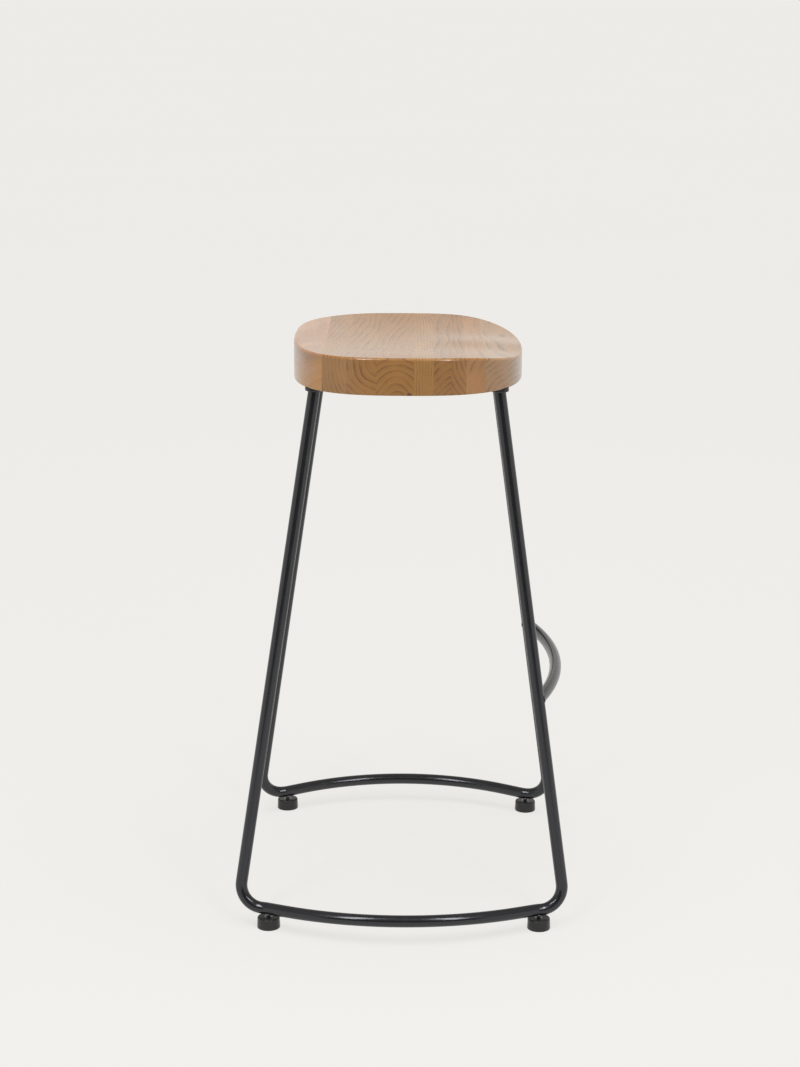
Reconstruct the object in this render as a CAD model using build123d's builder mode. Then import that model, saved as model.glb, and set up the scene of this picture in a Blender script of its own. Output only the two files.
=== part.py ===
from build123d import *
from math import asin, copysign, cos, degrees, exp, pi, radians, sin, tan
import os

# Bar stool with footrest. Millimetres, +Z up, origin on the floor at the middle of the footprint.
# X runs across the sitter (left is -X), and the front of the stool, with the footrest, faces -Y.

# Driving dimensions: steel tube frame
tube_radius = 8.0
tube_wall = 1.5
bar_height = 26.0  # centre line of the floor bars
front_leg_bottom_y = -220.0  # where the leg lines meet the height of the floor bars
rear_leg_bottom_y = 219.6
leg_bottom_x = 216.7
leg_overrun = 12.0  # how far the legs run on before they are cut level at the top
leg_top_x = 130.2
front_leg_top_y = -126.0
rear_leg_top_y = 117.0
bend_radius = 30.0
kink_y = 182.0  # where the floor bar turns outward into its bow
kink_x = 225.0
kink_radius = 20.0
bow_angle = 26.8
bow_straight = 28.0  # straight run at each end of the bow
bow_tilt = 4.4
footrest_height = 308.0
footrest_bow = 31.3
footrest_weld = 1.3

# Driving dimensions: flat straps under the seat, and their screws
strap_thickness = 4.0
strap_width = 24.0
strap_overhang = 12.0  # past the leg centre line
strap_corner = 8.0
weld_radius = 2.2
weld_offset = 0.7  # of the weld bead's centre from the tube's surface
screw_positions = [-95.0, -32.0, 32.0, 95.0]
screw_head_radius = 4.75
screw_radius = 2.25
screw_length = 30.0
screw_tip = 5.0
recess_width = 1.3
recess_depth = 1.8

# Driving dimensions: carved seat
seat_underside = 720.0
seat_rim = 772.3
seat_half_width = 194.7
seat_half_depth = 154.0
seat_centre_y = -5.2
front_outline_power = 2.72
rear_outline_power = 2.9
outline_points = 48
dish_depth = 14.0
dish_side_share = 0.75  # how much of the dish is gone at the sides
dish_front_share = 0.1  # and at the front, where it stays open for the thighs
pommel_height = 2.5
pommel_width = 42.0
pommel_start = -0.15  # shares of the half depth, ahead of the seat's middle
pommel_top = 0.6
front_drop = 7.0
front_drop_length = 84.0
front_drop_power = 1.6
rear_drop = 2.0
rear_drop_start = 0.3
top_edge_radius = 3.2
bottom_edge_radius = 0.8
carving_reach = 1.06  # the carving surface runs this far past the outline
surface_steps = 28
spare_height = 5.0
# Board widths from the rear; the front board has the rest
board_widths = [43.0, 32.0, 39.0, 49.0, 25.0, 23.0, 19.0, 25.0]

# Driving dimensions: levelling feet
front_foot_y = -185.0
rear_foot_y = 178.0
pad_radius = 15.5
pad_taper = 0.5
pad_height = 15.0
pad_top_round = 1.6
pad_bottom_round = 0.8
nut_radius = 4.5
nut_bottom = 18.8
nut_top = 29.0
stud_radius = 3.0
stud_top = 29.2
stud_bottom = 3.0
stud_clearance = 0.05
collar_radius = 6.0
collar_thickness = 1.5
collar_gap = 0.15
collar_side_gap = 0.2
thread_pitch = 1.0
thread_depth = 0.6
thread_land = 0.2  # flat on each thread's crest

sides = {"left": -1, "right": 1}
strap_underside = seat_underside - strap_thickness
tube_bore = tube_radius - tube_wall
leg_tops = {"front": front_leg_top_y, "rear": rear_leg_top_y}
leg_bottoms = {"front": front_leg_bottom_y, "rear": rear_leg_bottom_y}
foot_rows = {"front": front_foot_y, "rear": rear_foot_y}

os.makedirs("parts", exist_ok=True)


def save(piece, label):
    piece.label = label
    export_step(piece, f"parts/{label}.step")


def leg_point(side, row, height):
    """The point of a leg's centre line at a height."""
    along = (height - bar_height) / (strap_underside - bar_height)
    x = leg_bottom_x + (leg_top_x - leg_bottom_x) * along
    y = leg_bottoms[row] + (leg_tops[row] - leg_bottoms[row]) * along
    return Vector(side * x, y, height)


def leg_plane(side, row, height):
    """A plane square to a leg, with its origin on the leg's centre line."""
    direction = leg_point(side, row, height + 1) - leg_point(side, row, height)
    return Plane(origin=leg_point(side, row, height), z_dir=direction)


def bar_x(y):
    """How far out the floor bar's centre line is near a foot."""
    past = abs(y) - kink_y
    if past < 0:
        return kink_x - past * tan(radians(bow_angle))
    run = (abs(front_leg_bottom_y) if y < 0 else rear_leg_bottom_y) - kink_y
    return kink_x - past * (kink_x - leg_bottom_x) / run


def foot_locations():
    """Name, X and Y of each levelling foot."""
    for row, y in foot_rows.items():
        for name, side in sides.items():
            yield f"{row}_{name}", side * bar_x(y), y


# Hoops: each is one tube, bent down from a front leg into the bowed floor bar and up again
bow_out = kink_y * tan(radians(bow_angle))
bow_radius = (kink_y - bow_straight) / sin(radians(bow_angle))

for name, side in sides.items():
    bow_apex = (side * (kink_x + bow_out), 0, bar_height + bow_out * tan(radians(bow_tilt)))
    with BuildPart() as hoop:
        with BuildLine() as route:
            FilletPolyline(
                leg_point(side, "front", strap_underside + leg_overrun),
                leg_point(side, "front", bar_height),
                (side * kink_x, -kink_y, bar_height),
                bow_apex,
                (side * kink_x, kink_y, bar_height),
                leg_point(side, "rear", bar_height),
                leg_point(side, "rear", strap_underside + leg_overrun),
                radius=[bend_radius, kink_radius, bow_radius, kink_radius, bend_radius],
            )
        with BuildSketch(Plane(origin=route.line @ 0, z_dir=route.line % 0)):
            Circle(tube_radius)
            Circle(tube_bore, mode=Mode.SUBTRACT)
        sweep(path=route.line)
        split(bisect_by=Plane.XY.offset(strap_underside), keep=Keep.BOTTOM)
        # Holes in the underside for the foot nuts
        for _, x, y in foot_locations():
            with BuildSketch(Plane.XY.offset(bar_height)):
                with Locations((x, y)):
                    Circle(nut_radius)
            extrude(amount=-2 * tube_radius, mode=Mode.SUBTRACT)
    save(hoop.part, f"{name}_hoop")

# Footrest: a tube bowed forward, with its ends cut to fit the front legs
rest_end = leg_point(1, "front", footrest_height)
rest_radius = (rest_end.X**2 + footrest_bow**2) / (2 * footrest_bow)
rest_half_angle = degrees(asin(rest_end.X / rest_radius))
rest_centre = (0, rest_end.Y - footrest_bow + rest_radius, footrest_height)


def footrest_line():
    return CenterArc(rest_centre, rest_radius, 270 - rest_half_angle, 2 * rest_half_angle)


with BuildPart() as footrest:
    with BuildLine() as rest_route:
        footrest_line()
    with BuildSketch(Plane(origin=rest_route.line @ 0, z_dir=rest_route.line % 0)):
        Circle(tube_radius)
        Circle(tube_bore, mode=Mode.SUBTRACT)
    sweep(path=rest_route.line)
    for side in sides.values():
        with BuildSketch(leg_plane(side, "front", footrest_height)):
            Circle(tube_radius)
        extrude(amount=3 * tube_radius, both=True, mode=Mode.SUBTRACT)
save(footrest.part, "footrest")

# Weld beads where the footrest meets the legs: the skin shared by slightly thicker tubes
beads = []
for side in sides.values():
    with BuildPart() as rest_skin:
        with BuildLine() as bead_route:
            footrest_line()
        with BuildSketch(Plane(origin=bead_route.line @ 0, z_dir=bead_route.line % 0)):
            Circle(tube_radius + footrest_weld)
            Circle(tube_radius, mode=Mode.SUBTRACT)
        sweep(path=bead_route.line)
    with BuildPart() as bead:
        with BuildSketch(leg_plane(side, "front", footrest_height)):
            Circle(tube_radius + footrest_weld)
            Circle(tube_radius, mode=Mode.SUBTRACT)
        extrude(amount=2 * tube_radius, both=True)
        add(rest_skin.part, mode=Mode.INTERSECT)
    beads.append(bead.part)
save(Compound(children=beads), "footrest_welds")

# Straps: flat bars across the leg tops, drilled and countersunk from below
for row, y in leg_tops.items():
    with BuildPart() as strap:
        with BuildSketch(Plane.XY.offset(strap_underside)):
            with Locations((0, y)):
                RectangleRounded(2 * (leg_top_x + strap_overhang), strap_width, strap_corner)
        extrude(amount=strap_thickness)
        for x in screw_positions:
            with Locations(Location((x, y, strap_underside), (180, 0, 0))):
                CounterSinkHole(screw_radius, screw_head_radius, depth=strap_thickness)
    save(strap.part, f"{row}_strap")

# Weld beads round the leg tops, under the straps
with BuildPart() as leg_welds:
    for side in sides.values():
        for row in leg_tops:
            top = leg_point(side, row, strap_underside)
            with Locations((top.X, top.Y, top.Z)):
                Torus(tube_radius + weld_offset, weld_radius)
    split(bisect_by=Plane.XY.offset(strap_underside), keep=Keep.BOTTOM)
    for side in sides.values():
        for row in leg_tops:
            with BuildSketch(leg_plane(side, row, strap_underside)):
                Circle(tube_radius)
            extrude(amount=2 * tube_radius, both=True, mode=Mode.SUBTRACT)
save(leg_welds.part, "leg_welds")

# Seat screws: countersunk, cross recess, driven up through the straps
head_depth = screw_head_radius - screw_radius
with BuildPart() as seat_screw:
    with BuildSketch(Plane.XZ):
        with BuildLine():
            Polyline(
                (0, strap_underside),
                (screw_head_radius, strap_underside),
                (screw_radius, strap_underside + head_depth),
                (screw_radius, strap_underside + screw_length - screw_tip),
                (0, strap_underside + screw_length),
                close=True,
            )
        make_face()
    revolve(axis=Axis.Z)
    with BuildSketch(Plane.XY.offset(strap_underside)):
        Rectangle(2 * screw_radius, recess_width)
        Rectangle(recess_width, 2 * screw_radius)
    extrude(amount=recess_depth, mode=Mode.SUBTRACT)
screw_places = [Pos(x, y, 0) for y in leg_tops.values() for x in screw_positions]
screw_set = Compound(children=[place * seat_screw.part for place in screw_places])
save(screw_set, "seat_screws")


# Seat: a rounded blank, hollowed by a carving surface, then divided into its glued boards
def outline_point(turn):
    """A point of the seat's plan outline, a superellipse with a rounder front."""
    power = rear_outline_power if sin(turn) > 0 else front_outline_power
    x = copysign(abs(cos(turn)) ** (2 / power), cos(turn))
    y = copysign(abs(sin(turn)) ** (2 / power), sin(turn))
    return (x * seat_half_width, seat_centre_y + y * seat_half_depth)


def top_height(across, ahead):
    """Height of the sitting surface; both values go from -1 to 1, ahead towards the front."""
    to_end = 1 if ahead < 0 else dish_front_share
    bowl = dish_depth * (1 - dish_side_share * across**2) * (1 - to_end * ahead**2)
    rise = min(max((ahead - pommel_start) / (pommel_top - pommel_start), 0), 1)
    ridge = exp(-((across * seat_half_width / pommel_width) ** 2))
    pommel = pommel_height * rise**2 * (3 - 2 * rise) * ridge
    past_front = max((ahead - 1) * seat_half_depth + front_drop_length, 0) / front_drop_length
    past_rear = max(-ahead - rear_drop_start, 0) / (1 - rear_drop_start)
    drop = front_drop * past_front**front_drop_power + rear_drop * past_rear**2
    return seat_rim - bowl + pommel - drop


def carving_surface():
    """The sitting surface, carried a little past the outline."""
    steps = [carving_reach * (2 * step / surface_steps - 1) for step in range(surface_steps + 1)]
    grid = []
    for across in steps:
        row = []
        for ahead in steps:
            y = seat_centre_y - ahead * seat_half_depth
            row.append((across * seat_half_width, y, top_height(across, ahead)))
        grid.append(row)
    return Face.make_surface_from_array_of_points(grid, tol=0.05, min_deg=3, max_deg=5)


with BuildPart() as seat:
    with BuildSketch(Plane.XY.offset(seat_underside)):
        with BuildLine():
            turns = [2 * pi * (i + 0.5) / outline_points for i in range(outline_points)]
            Spline(*[outline_point(turn) for turn in turns], periodic=True)
        make_face()
    blank_height = seat_rim + spare_height - seat_underside
    extrude(amount=blank_height)
    extrude(carving_surface(), amount=blank_height, dir=(0, 0, 1), mode=Mode.SUBTRACT)
    fillet(seat.edges().group_by(Axis.Z)[0], bottom_edge_radius)
    fillet(seat.faces().sort_by(Axis.Z)[-1].edges(), top_edge_radius)
    add(screw_set, mode=Mode.SUBTRACT)

glue_lines = [seat_centre_y + seat_half_depth]
for width in board_widths:
    glue_lines.append(glue_lines[-1] - width)
board_rears = [glue_lines[0] + spare_height, *glue_lines[1:]]
board_fronts = [*glue_lines[1:], seat_centre_y - seat_half_depth - spare_height]

for number, (rear, front) in enumerate(zip(board_rears, board_fronts), start=1):
    with BuildPart() as board:
        add(seat.part)
        with Locations((0, (rear + front) / 2, (seat_underside + seat_rim) / 2)):
            Box(3 * seat_half_width, rear - front, 2 * (seat_rim - seat_underside), mode=Mode.INTERSECT)
    save(board.part, f"seat_board_{number}")

# Levelling feet: a nut in the bar, a threaded stud with a collar, and a moulded pad
bore = stud_radius + stud_clearance
root = stud_radius - thread_depth
collar_bottom = pad_height - collar_thickness
recess = collar_radius + collar_side_gap
shelf = collar_bottom - collar_gap
thread_turns = int((stud_top - pad_height - thread_pitch) / thread_pitch)

for name, x, y in foot_locations():
    spot = Plane(origin=(x, y, 0), x_dir=(1, 0, 0), z_dir=(0, -1, 0))

    with BuildPart() as nut:
        with BuildSketch(Plane(origin=(x, y, nut_bottom))):
            Circle(nut_radius)
            Circle(bore, mode=Mode.SUBTRACT)
        extrude(amount=nut_top - nut_bottom)
    save(nut.part, f"{name}_nut")

    with BuildPart() as stud:
        with BuildSketch(spot):
            with BuildLine():
                points = [(0, stud_bottom), (root, stud_bottom), (stud_radius, stud_bottom + thread_depth)]
                points += [(stud_radius, collar_bottom), (collar_radius, collar_bottom)]
                points += [(collar_radius, pad_height), (root, pad_height)]
                for turn in range(thread_turns):
                    crest = pad_height + (turn + 0.5) * thread_pitch
                    points.append((stud_radius, crest - thread_land / 2))
                    points.append((stud_radius, crest + thread_land / 2))
                    points.append((root, crest + thread_pitch / 2))
                points += [(root, stud_top), (0, stud_top)]
                Polyline(*points, close=True)
            make_face()
        revolve(axis=Axis((x, y, 0), (0, 0, 1)))
    save(stud.part, f"{name}_stud")

    with BuildPart() as pad:
        with BuildSketch(spot):
            with BuildLine():
                Polyline(
                    (0, 0),
                    (pad_radius, 0),
                    (pad_radius - pad_taper, pad_height),
                    (recess, pad_height),
                    (recess, shelf),
                    (bore, shelf),
                    (bore, stud_bottom - collar_gap),
                    (0, stud_bottom - collar_gap),
                    close=True,
                )
            make_face()
        revolve(axis=Axis((x, y, 0), (0, 0, 1)))
        outer = pad.edges().filter_by(GeomType.CIRCLE).sort_by(SortBy.RADIUS)
        fillet(outer[-1], pad_bottom_round)
        top_rim = pad.edges().group_by(Axis.Z)[-1].sort_by(SortBy.RADIUS)[-1]
        fillet(top_rim, pad_top_round)
    save(pad.part, f"{name}_pad")
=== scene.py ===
import bpy
import bmesh
from math import cos, radians, sin
from mathutils import Matrix, Vector


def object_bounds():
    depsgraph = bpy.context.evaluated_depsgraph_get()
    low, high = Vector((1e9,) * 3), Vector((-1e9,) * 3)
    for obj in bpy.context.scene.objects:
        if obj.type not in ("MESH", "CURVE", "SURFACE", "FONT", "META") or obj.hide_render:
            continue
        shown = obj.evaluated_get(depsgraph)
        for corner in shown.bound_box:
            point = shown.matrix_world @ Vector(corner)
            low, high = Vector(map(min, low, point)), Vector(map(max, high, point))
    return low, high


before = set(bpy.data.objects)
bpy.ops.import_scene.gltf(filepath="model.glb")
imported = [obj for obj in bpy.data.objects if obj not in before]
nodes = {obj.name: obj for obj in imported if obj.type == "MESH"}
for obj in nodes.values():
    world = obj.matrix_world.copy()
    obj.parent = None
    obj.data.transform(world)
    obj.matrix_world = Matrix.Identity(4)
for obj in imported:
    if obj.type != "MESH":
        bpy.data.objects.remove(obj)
cad_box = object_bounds()

scene = bpy.context.scene


# Material helpers

class Shader:
    """A node material with short calls for adding and joining its nodes."""

    def __init__(self, name):
        self.material = bpy.data.materials.new(name)
        self.material.use_nodes = True
        self.tree = self.material.node_tree
        self.surface = self.tree.nodes["Principled BSDF"]
        coordinates = self.tree.nodes.new("ShaderNodeTexCoord")
        self.position = coordinates.outputs["Object"]

    def join(self, value, socket):
        """Puts a constant or another node's output into a socket."""
        if isinstance(value, bpy.types.NodeSocket):
            self.tree.links.new(value, socket)
        elif hasattr(value, "__len__") and len(value) == 3 and socket.type == "RGBA":
            socket.default_value = (*value, 1)
        else:
            socket.default_value = value

    def set(self, **values):
        """Sets the surface's inputs, written with underscores for spaces."""
        for name, value in values.items():
            self.join(value, self.surface.inputs[name.replace("_", " ")])

    def math(self, operation, *values):
        node = self.tree.nodes.new("ShaderNodeMath")
        node.operation = operation
        for value, socket in zip(values, node.inputs):
            self.join(value, socket)
        return node.outputs[0]

    def vector(self, operation, *values):
        node = self.tree.nodes.new("ShaderNodeVectorMath")
        node.operation = operation
        sockets = [socket for socket in node.inputs if socket.enabled]
        for value, socket in zip(values, sockets):
            self.join(value, socket)
        return node.outputs["Value" if operation in ("LENGTH", "DOT_PRODUCT") else "Vector"]

    def noise(self, vector, scale, detail=2.0, roughness=0.5):
        node = self.tree.nodes.new("ShaderNodeTexNoise")
        self.join(vector, node.inputs["Vector"])
        node.inputs["Scale"].default_value = scale
        node.inputs["Detail"].default_value = detail
        node.inputs["Roughness"].default_value = roughness
        return node.outputs["Fac"]

    def span(self, value, low, high, to_low=0.0, to_high=1.0, smooth=False):
        """Carries a value from one range to another, held at its ends."""
        node = self.tree.nodes.new("ShaderNodeMapRange")
        node.interpolation_type = "SMOOTHSTEP" if smooth else "LINEAR"
        for amount, socket in zip((value, low, high, to_low, to_high), node.inputs):
            self.join(amount, socket)
        return node.outputs[0]

    def mix(self, amount, first, second):
        """Mixes two colours, which are the node's sockets 6 and 7; its output 2 is a colour."""
        node = self.tree.nodes.new("ShaderNodeMix")
        node.data_type = "RGBA"
        self.join(amount, node.inputs["Factor"])
        self.join(first, node.inputs[6])
        self.join(second, node.inputs[7])
        return node.outputs[2]

    def bump(self, height, distance, strength=1.0):
        node = self.tree.nodes.new("ShaderNodeBump")
        node.inputs["Strength"].default_value = strength
        node.inputs["Distance"].default_value = distance
        self.join(height, node.inputs["Height"])
        self.join(node.outputs[0], self.surface.inputs["Normal"])


def paint(node_names, material):
    for name in node_names:
        for slot in nodes[name].material_slots:
            slot.material = material


# Wood: growth rings round a pith line that runs roughly along the board, X, so that the
# same solid grain shows as arcs on the ends and as long figure on top

def wood(
    name, light, dark, pith, ring, wander, seed,
    lean=0.0, rise=0.0, line=0.8, blotch=None, knot=None, heart=None,
):
    """pith is the ring centre's Y and Z at X = 0, and lean and rise its slopes along the
    board; ring is the ring width, wander how far the rings stray and line how strongly
    they show. blotch is a colour laid on in clouds, and knot is a small dark knot's
    place. heart is two distances from the pith and a colour that comes in between them
    and stays beyond."""
    s = Shader(name)
    shifted = s.vector("ADD", s.position, (seed * 0.37, seed * 0.11, seed * 0.23))
    along = s.vector("DOT_PRODUCT", s.position, (1, 0, 0))
    tilt = s.vector("SCALE", (0, lean, rise), along)
    from_pith = s.vector("SUBTRACT", s.vector("SUBTRACT", s.position, (0, *pith)), tilt)
    radius = s.vector("LENGTH", s.vector("MULTIPLY", from_pith, (0, 1, 1)))

    def drawn_out(shrink, scale, detail, roughness=0.5):
        """A noise drawn out along the board, by shrinking its X."""
        return s.noise(s.vector("MULTIPLY", shifted, (shrink, 1, 1)), scale, detail, roughness)

    slow = drawn_out(shrink=0.3, scale=19, detail=1)
    quick = drawn_out(shrink=0.15, scale=75, detail=2)
    stray = s.math("MULTIPLY", s.math("SUBTRACT", slow, 0.5), wander)
    ripple = s.math("MULTIPLY", s.math("SUBTRACT", quick, 0.5), wander * 0.12)
    rings = s.math("DIVIDE", s.math("ADD", radius, s.math("ADD", stray, ripple)), ring)

    # Each year darkens slowly, ends in a thin dark line and starts again pale
    year = s.math("FRACT", rings)
    slow_dark = s.span(year, 0.1, 0.8, 0, 0.4)
    thin_line = s.span(year, 0.62, 0.9, 0, 0.6, smooth=True)
    late = s.math("ADD", slow_dark, thin_line)
    late = s.math("MULTIPLY", late, s.span(year, 0.93, 1.0, 1, 0))
    patch = drawn_out(shrink=0.4, scale=48, detail=1)
    late = s.math("MULTIPLY", late, s.span(patch, 0.38, 0.62, line * 0.25, line * 0.9))

    fine = drawn_out(shrink=0.03, scale=800, detail=3, roughness=0.6)
    cloud = drawn_out(shrink=0.35, scale=26, detail=2)

    colour = s.mix(late, light, dark)
    if heart:
        inner, outer, tone = heart
        colour = s.mix(s.span(radius, inner, outer, 0, 0.85, smooth=True), colour, tone)
    if blotch:
        colour = s.mix(s.span(cloud, 0.45, 0.66, 0, 0.85, smooth=True), colour, blotch)
    colour = s.mix(s.span(fine, 0.35, 0.7, 0.08, 0), colour, dark)
    colour = s.mix(s.span(cloud, 0.3, 0.7, 0.15, 0, smooth=True), colour, dark)
    if knot:
        knot_shape = (0.25, 1, 1.4)
        knot_core, knot_edge = 0.0015, 0.0045
        knot_colour = (0.05, 0.016, 0.008)
        from_knot = s.vector("MULTIPLY", s.vector("SUBTRACT", s.position, knot), knot_shape)
        near = s.vector("LENGTH", from_knot)
        darkness = s.span(near, knot_core, knot_edge, 0.85, 0, smooth=True)
        colour = s.mix(darkness, colour, knot_colour)

    s.set(
        Base_Color=colour,
        Roughness=s.span(fine, 0.3, 0.7, 0.32, 0.24),
        Specular_IOR_Level=0.5,
        Coat_Weight=0.5,
        Coat_Roughness=0.15,
    )
    s.bump(s.math("SUBTRACT", fine, s.math("MULTIPLY", late, 0.6)), 0.00001, 0.4)
    return s.material


brown = (0.102, 0.043, 0.013)
boards = {
    1: dict(light=(0.345, 0.168, 0.045), dark=(0.25, 0.105, 0.03), pith=(0.04, 0.62), ring=0.011, line=0.7,
            wander=0.012, seed=1, blotch=(0.32, 0.17, 0.088), heart=(0.15, 0.166, (0.215, 0.112, 0.06))),
    2: dict(light=(0.242, 0.116, 0.031), dark=brown, pith=(0.02, 0.752), ring=0.0066, lean=-0.12,
            wander=0.02, seed=2, line=0.9),
    3: dict(light=(0.242, 0.113, 0.029), dark=brown, pith=(0.0, 0.775), ring=0.0086, lean=-0.1,
            wander=0.024, seed=3, line=0.95),
    4: dict(light=(0.24, 0.111, 0.027), dark=brown, pith=(-0.024, 0.728), ring=0.0078, lean=-0.16, rise=0.07,
            wander=0.02, seed=4, knot=(-0.195, -0.008, 0.7215)),
    5: dict(light=(0.262, 0.13, 0.036), dark=(0.12, 0.052, 0.014), pith=(0.22, 0.75), ring=0.0042,
            wander=0.014, seed=5, lean=0.02, line=1.0),
    6: dict(light=(0.23, 0.11, 0.03), dark=brown, pith=(-0.11, 0.676), ring=0.0074,
            wander=0.018, seed=6, lean=-0.05, line=1.0),
    7: dict(light=(0.228, 0.102, 0.024), dark=brown, pith=(-0.133, 0.77), ring=0.0066,
            wander=0.018, seed=7, line=1.0),
    8: dict(light=(0.25, 0.12, 0.036), dark=(0.13, 0.055, 0.018), pith=(-0.165, 0.685), ring=0.0095,
            wander=0.02, seed=8, lean=0.08, blotch=(0.265, 0.12, 0.04), line=0.9),
    9: dict(light=(0.265, 0.145, 0.062), dark=(0.11, 0.06, 0.028), pith=(-0.14, 0.695), ring=0.008,
            wander=0.02, seed=9, lean=0.1, rise=0.04, blotch=(0.265, 0.14, 0.062), line=0.9),
}
for number, grain in boards.items():
    paint([f"seat_board_{number}"], wood(f"board_wood_{number}", **grain))


# Satin black powder coat, with a faint orange peel and rub marks

def powder_coat():
    s = Shader("black_powder_coat")
    peel = s.noise(s.position, 900, detail=2)
    rub = s.noise(s.position, 55, detail=4, roughness=0.6)
    s.set(
        Base_Color=s.mix(rub, (0.006, 0.006, 0.007), (0.011, 0.011, 0.012)),
        Roughness=s.span(rub, 0.3, 0.7, 0.15, 0.21),
        Specular_IOR_Level=0.65,
        Specular_Tint=(0.91, 0.93, 1.0),
    )
    s.bump(peel, 0.00004, 0.5)
    return s.material


coated = ["left_hoop", "right_hoop", "footrest", "footrest_welds", "front_strap", "rear_strap"]
paint(coated + ["leg_welds"], powder_coat())


# Moulded black plastic of the pads

def moulded_plastic():
    s = Shader("black_moulded_plastic")
    grain = s.noise(s.position, 1400, detail=2)
    flow = s.noise(s.position, 90, detail=3)
    s.set(
        Base_Color=s.mix(flow, (0.009, 0.009, 0.009), (0.016, 0.016, 0.016)),
        Roughness=s.span(flow, 0.3, 0.7, 0.2, 0.32),
        Specular_IOR_Level=0.4,
    )
    s.bump(grain, 0.00003, 0.4)
    return s.material


# Plated steel of the screws, nuts and studs

def plated_steel(name, bright, dull, rough):
    s = Shader(name)
    stain = s.noise(s.position, 260, detail=4, roughness=0.65)
    tool = s.noise(s.vector("MULTIPLY", s.position, (1, 1, 14)), 700, detail=2)
    s.set(
        Base_Color=s.mix(s.span(stain, 0.35, 0.65), dull, bright),
        Metallic=1.0,
        Roughness=s.span(stain, 0.3, 0.7, rough + 0.12, rough),
    )
    s.bump(tool, 0.00002, 0.5)
    return s.material


corners = ["front_left", "front_right", "rear_left", "rear_right"]
paint([f"{corner}_pad" for corner in corners], moulded_plastic())
paint([f"{corner}_stud" for corner in corners],
      plated_steel("dark_zinc_stud", (0.3, 0.3, 0.31), (0.16, 0.16, 0.17), 0.24))
paint([f"{corner}_nut" for corner in corners],
      plated_steel("zinc_nut", (0.55, 0.55, 0.54), (0.36, 0.36, 0.35), 0.3))
paint(["seat_screws"],
      plated_steel("zinc_screw", (0.6, 0.57, 0.5), (0.4, 0.37, 0.3), 0.28))


# Stage: a wide pale floor that glows a little, so that shadows on it stay faint

paper = (0.855, 0.839, 0.807)


def pale_floor():
    s = Shader("pale_floor")
    tone = s.noise(s.position, 0.6, detail=2)
    s.set(
        Base_Color=s.mix(tone, (0.084, 0.084, 0.084), (0.088, 0.088, 0.088)),
        Roughness=1.0,
        Specular_IOR_Level=0.0,
        Emission_Color=paper,
        Emission_Strength=0.825,
    )
    return s.material


floor_radius = 90
floor_gap = 0.0002

disc = bmesh.new()
bmesh.ops.create_circle(disc, cap_ends=True, segments=96, radius=floor_radius)
floor_mesh = bpy.data.meshes.new("floor")
disc.to_mesh(floor_mesh)
disc.free()
floor = bpy.data.objects.new("floor", floor_mesh)
scene.collection.objects.link(floor)
floor_mesh.materials.append(pale_floor())
floor.location.z = cad_box[0].z - floor_gap

# The studio's walls are as pale as the floor, and its ceiling is dimmer
wall_top, ceiling_start = 0.17, 0.52
wall_strength, ceiling_strength = 1.02, 0.42

world = bpy.data.worlds.new("studio")
world.use_nodes = True
tree = world.node_tree
direction = tree.nodes.new("ShaderNodeTexCoord")
height = tree.nodes.new("ShaderNodeSeparateXYZ")
fade = tree.nodes.new("ShaderNodeMapRange")
background = tree.nodes["Background"]
tree.links.new(direction.outputs["Generated"], height.inputs[0])
tree.links.new(height.outputs["Z"], fade.inputs["Value"])
tree.links.new(fade.outputs[0], background.inputs["Strength"])
fade.inputs["From Min"].default_value = wall_top
fade.inputs["From Max"].default_value = ceiling_start
fade.inputs["To Min"].default_value = wall_strength
fade.inputs["To Max"].default_value = ceiling_strength
background.inputs["Color"].default_value = (*paper, 1)
scene.world = world

middle = (cad_box[0] + cad_box[1]) / 2


def dark_flag(distance, half_width, low, high):
    """A dark studio flag behind the camera, seen only in reflections. It gives the tubes
    their dark core."""
    mesh = bpy.data.meshes.new("dark_flag")
    outline = [
        (-distance, -half_width, low),
        (-distance, half_width, low),
        (-distance, half_width, high),
        (-distance, -half_width, high),
    ]
    mesh.from_pydata(outline, [], [(0, 1, 2, 3)])
    flag = bpy.data.objects.new("dark_flag", mesh)
    scene.collection.objects.link(flag)
    s = Shader("black_felt")
    nap = s.noise(s.position, 3, detail=2)
    s.set(
        Base_Color=s.mix(nap, (0.07, 0.07, 0.07), (0.12, 0.12, 0.12)),
        Roughness=1.0,
        Specular_IOR_Level=0.0,
    )
    mesh.materials.append(s.material)
    flag.visible_camera = False
    flag.visible_diffuse = False
    flag.visible_shadow = False


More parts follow.
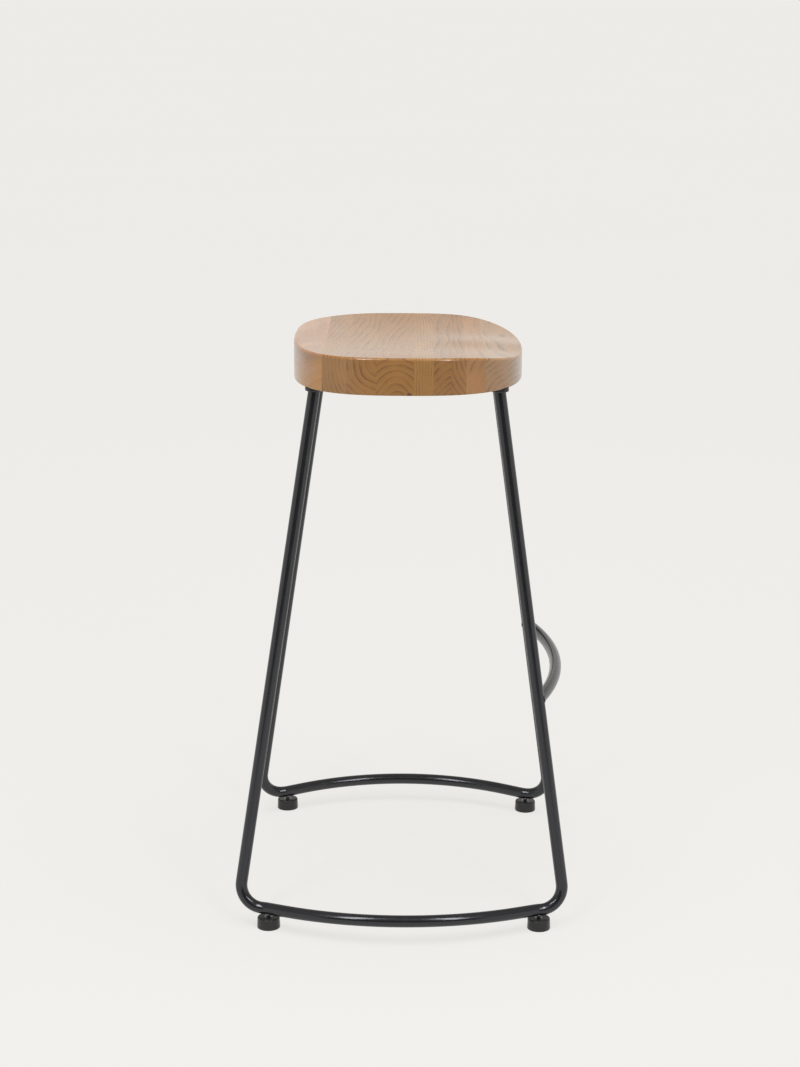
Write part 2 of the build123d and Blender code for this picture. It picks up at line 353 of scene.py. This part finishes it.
dark_flag(distance=3.6, half_width=2.6, low=0.02, high=2.3)


def strip_light(name, side, azimuth, low, high, distance, width, power):
    """A tall soft box, from one elevation to another, at an azimuth either side of the camera's."""
    middle_angle = radians((low + high) / 2)
    data = bpy.data.lights.new(name, "AREA")
    data.shape = "RECTANGLE"
    data.size = width
    data.size_y = 2 * distance * sin(radians(high - low) / 2)
    data.energy = power
    light = bpy.data.objects.new(name, data)
    turn = radians(azimuth)
    away = Vector((
        -cos(middle_angle) * cos(turn),
        side * cos(middle_angle) * sin(turn),
        sin(middle_angle),
    ))
    light.location = middle + away * distance
    light.rotation_mode = "QUATERNION"
    light.rotation_quaternion = away.to_track_quat("Z", "Y")
    light.visible_camera = False
    scene.collection.objects.link(light)


strip_light("left_strip", side=1, azimuth=28, low=26, high=64, distance=3.0, width=0.4, power=30)
strip_light("right_strip", side=-1, azimuth=27, low=24, high=58, distance=3.0, width=0.36, power=27)

overhead_data = bpy.data.lights.new("overhead", "SUN")
overhead_data.energy = 3.9
overhead_data.angle = radians(60)
overhead = bpy.data.objects.new("overhead", overhead_data)
overhead.rotation_euler = (radians(4), radians(-6), 0)
overhead.visible_glossy = False
scene.collection.objects.link(overhead)


# Camera: on the stool's left and half a metre above the seat, looking down across it

camera_data = bpy.data.cameras.new("camera")
camera_data.sensor_width = 36
camera_data.lens = 79.75
camera_data.clip_end = 400
camera = bpy.data.objects.new("camera", camera_data)
scene.collection.objects.link(camera)

camera_place = (-3.183, -0.026, 1.2826)
pitch, yaw, roll = radians(13.99), radians(0.5635), radians(0.183)
forward = Vector((cos(pitch) * cos(yaw), cos(pitch) * sin(yaw), -sin(pitch)))
level = forward.cross(Vector((0, 0, 1))).normalized()
upright = level.cross(forward)
right = level * cos(roll) + upright * sin(roll)
up = upright * cos(roll) - level * sin(roll)
pose = Matrix((right, up, -forward)).transposed().to_4x4()
pose.translation = camera_place
camera.matrix_world = pose
scene.camera = camera

scene.view_settings.view_transform = "Standard"
scene.view_settings.look = "None"
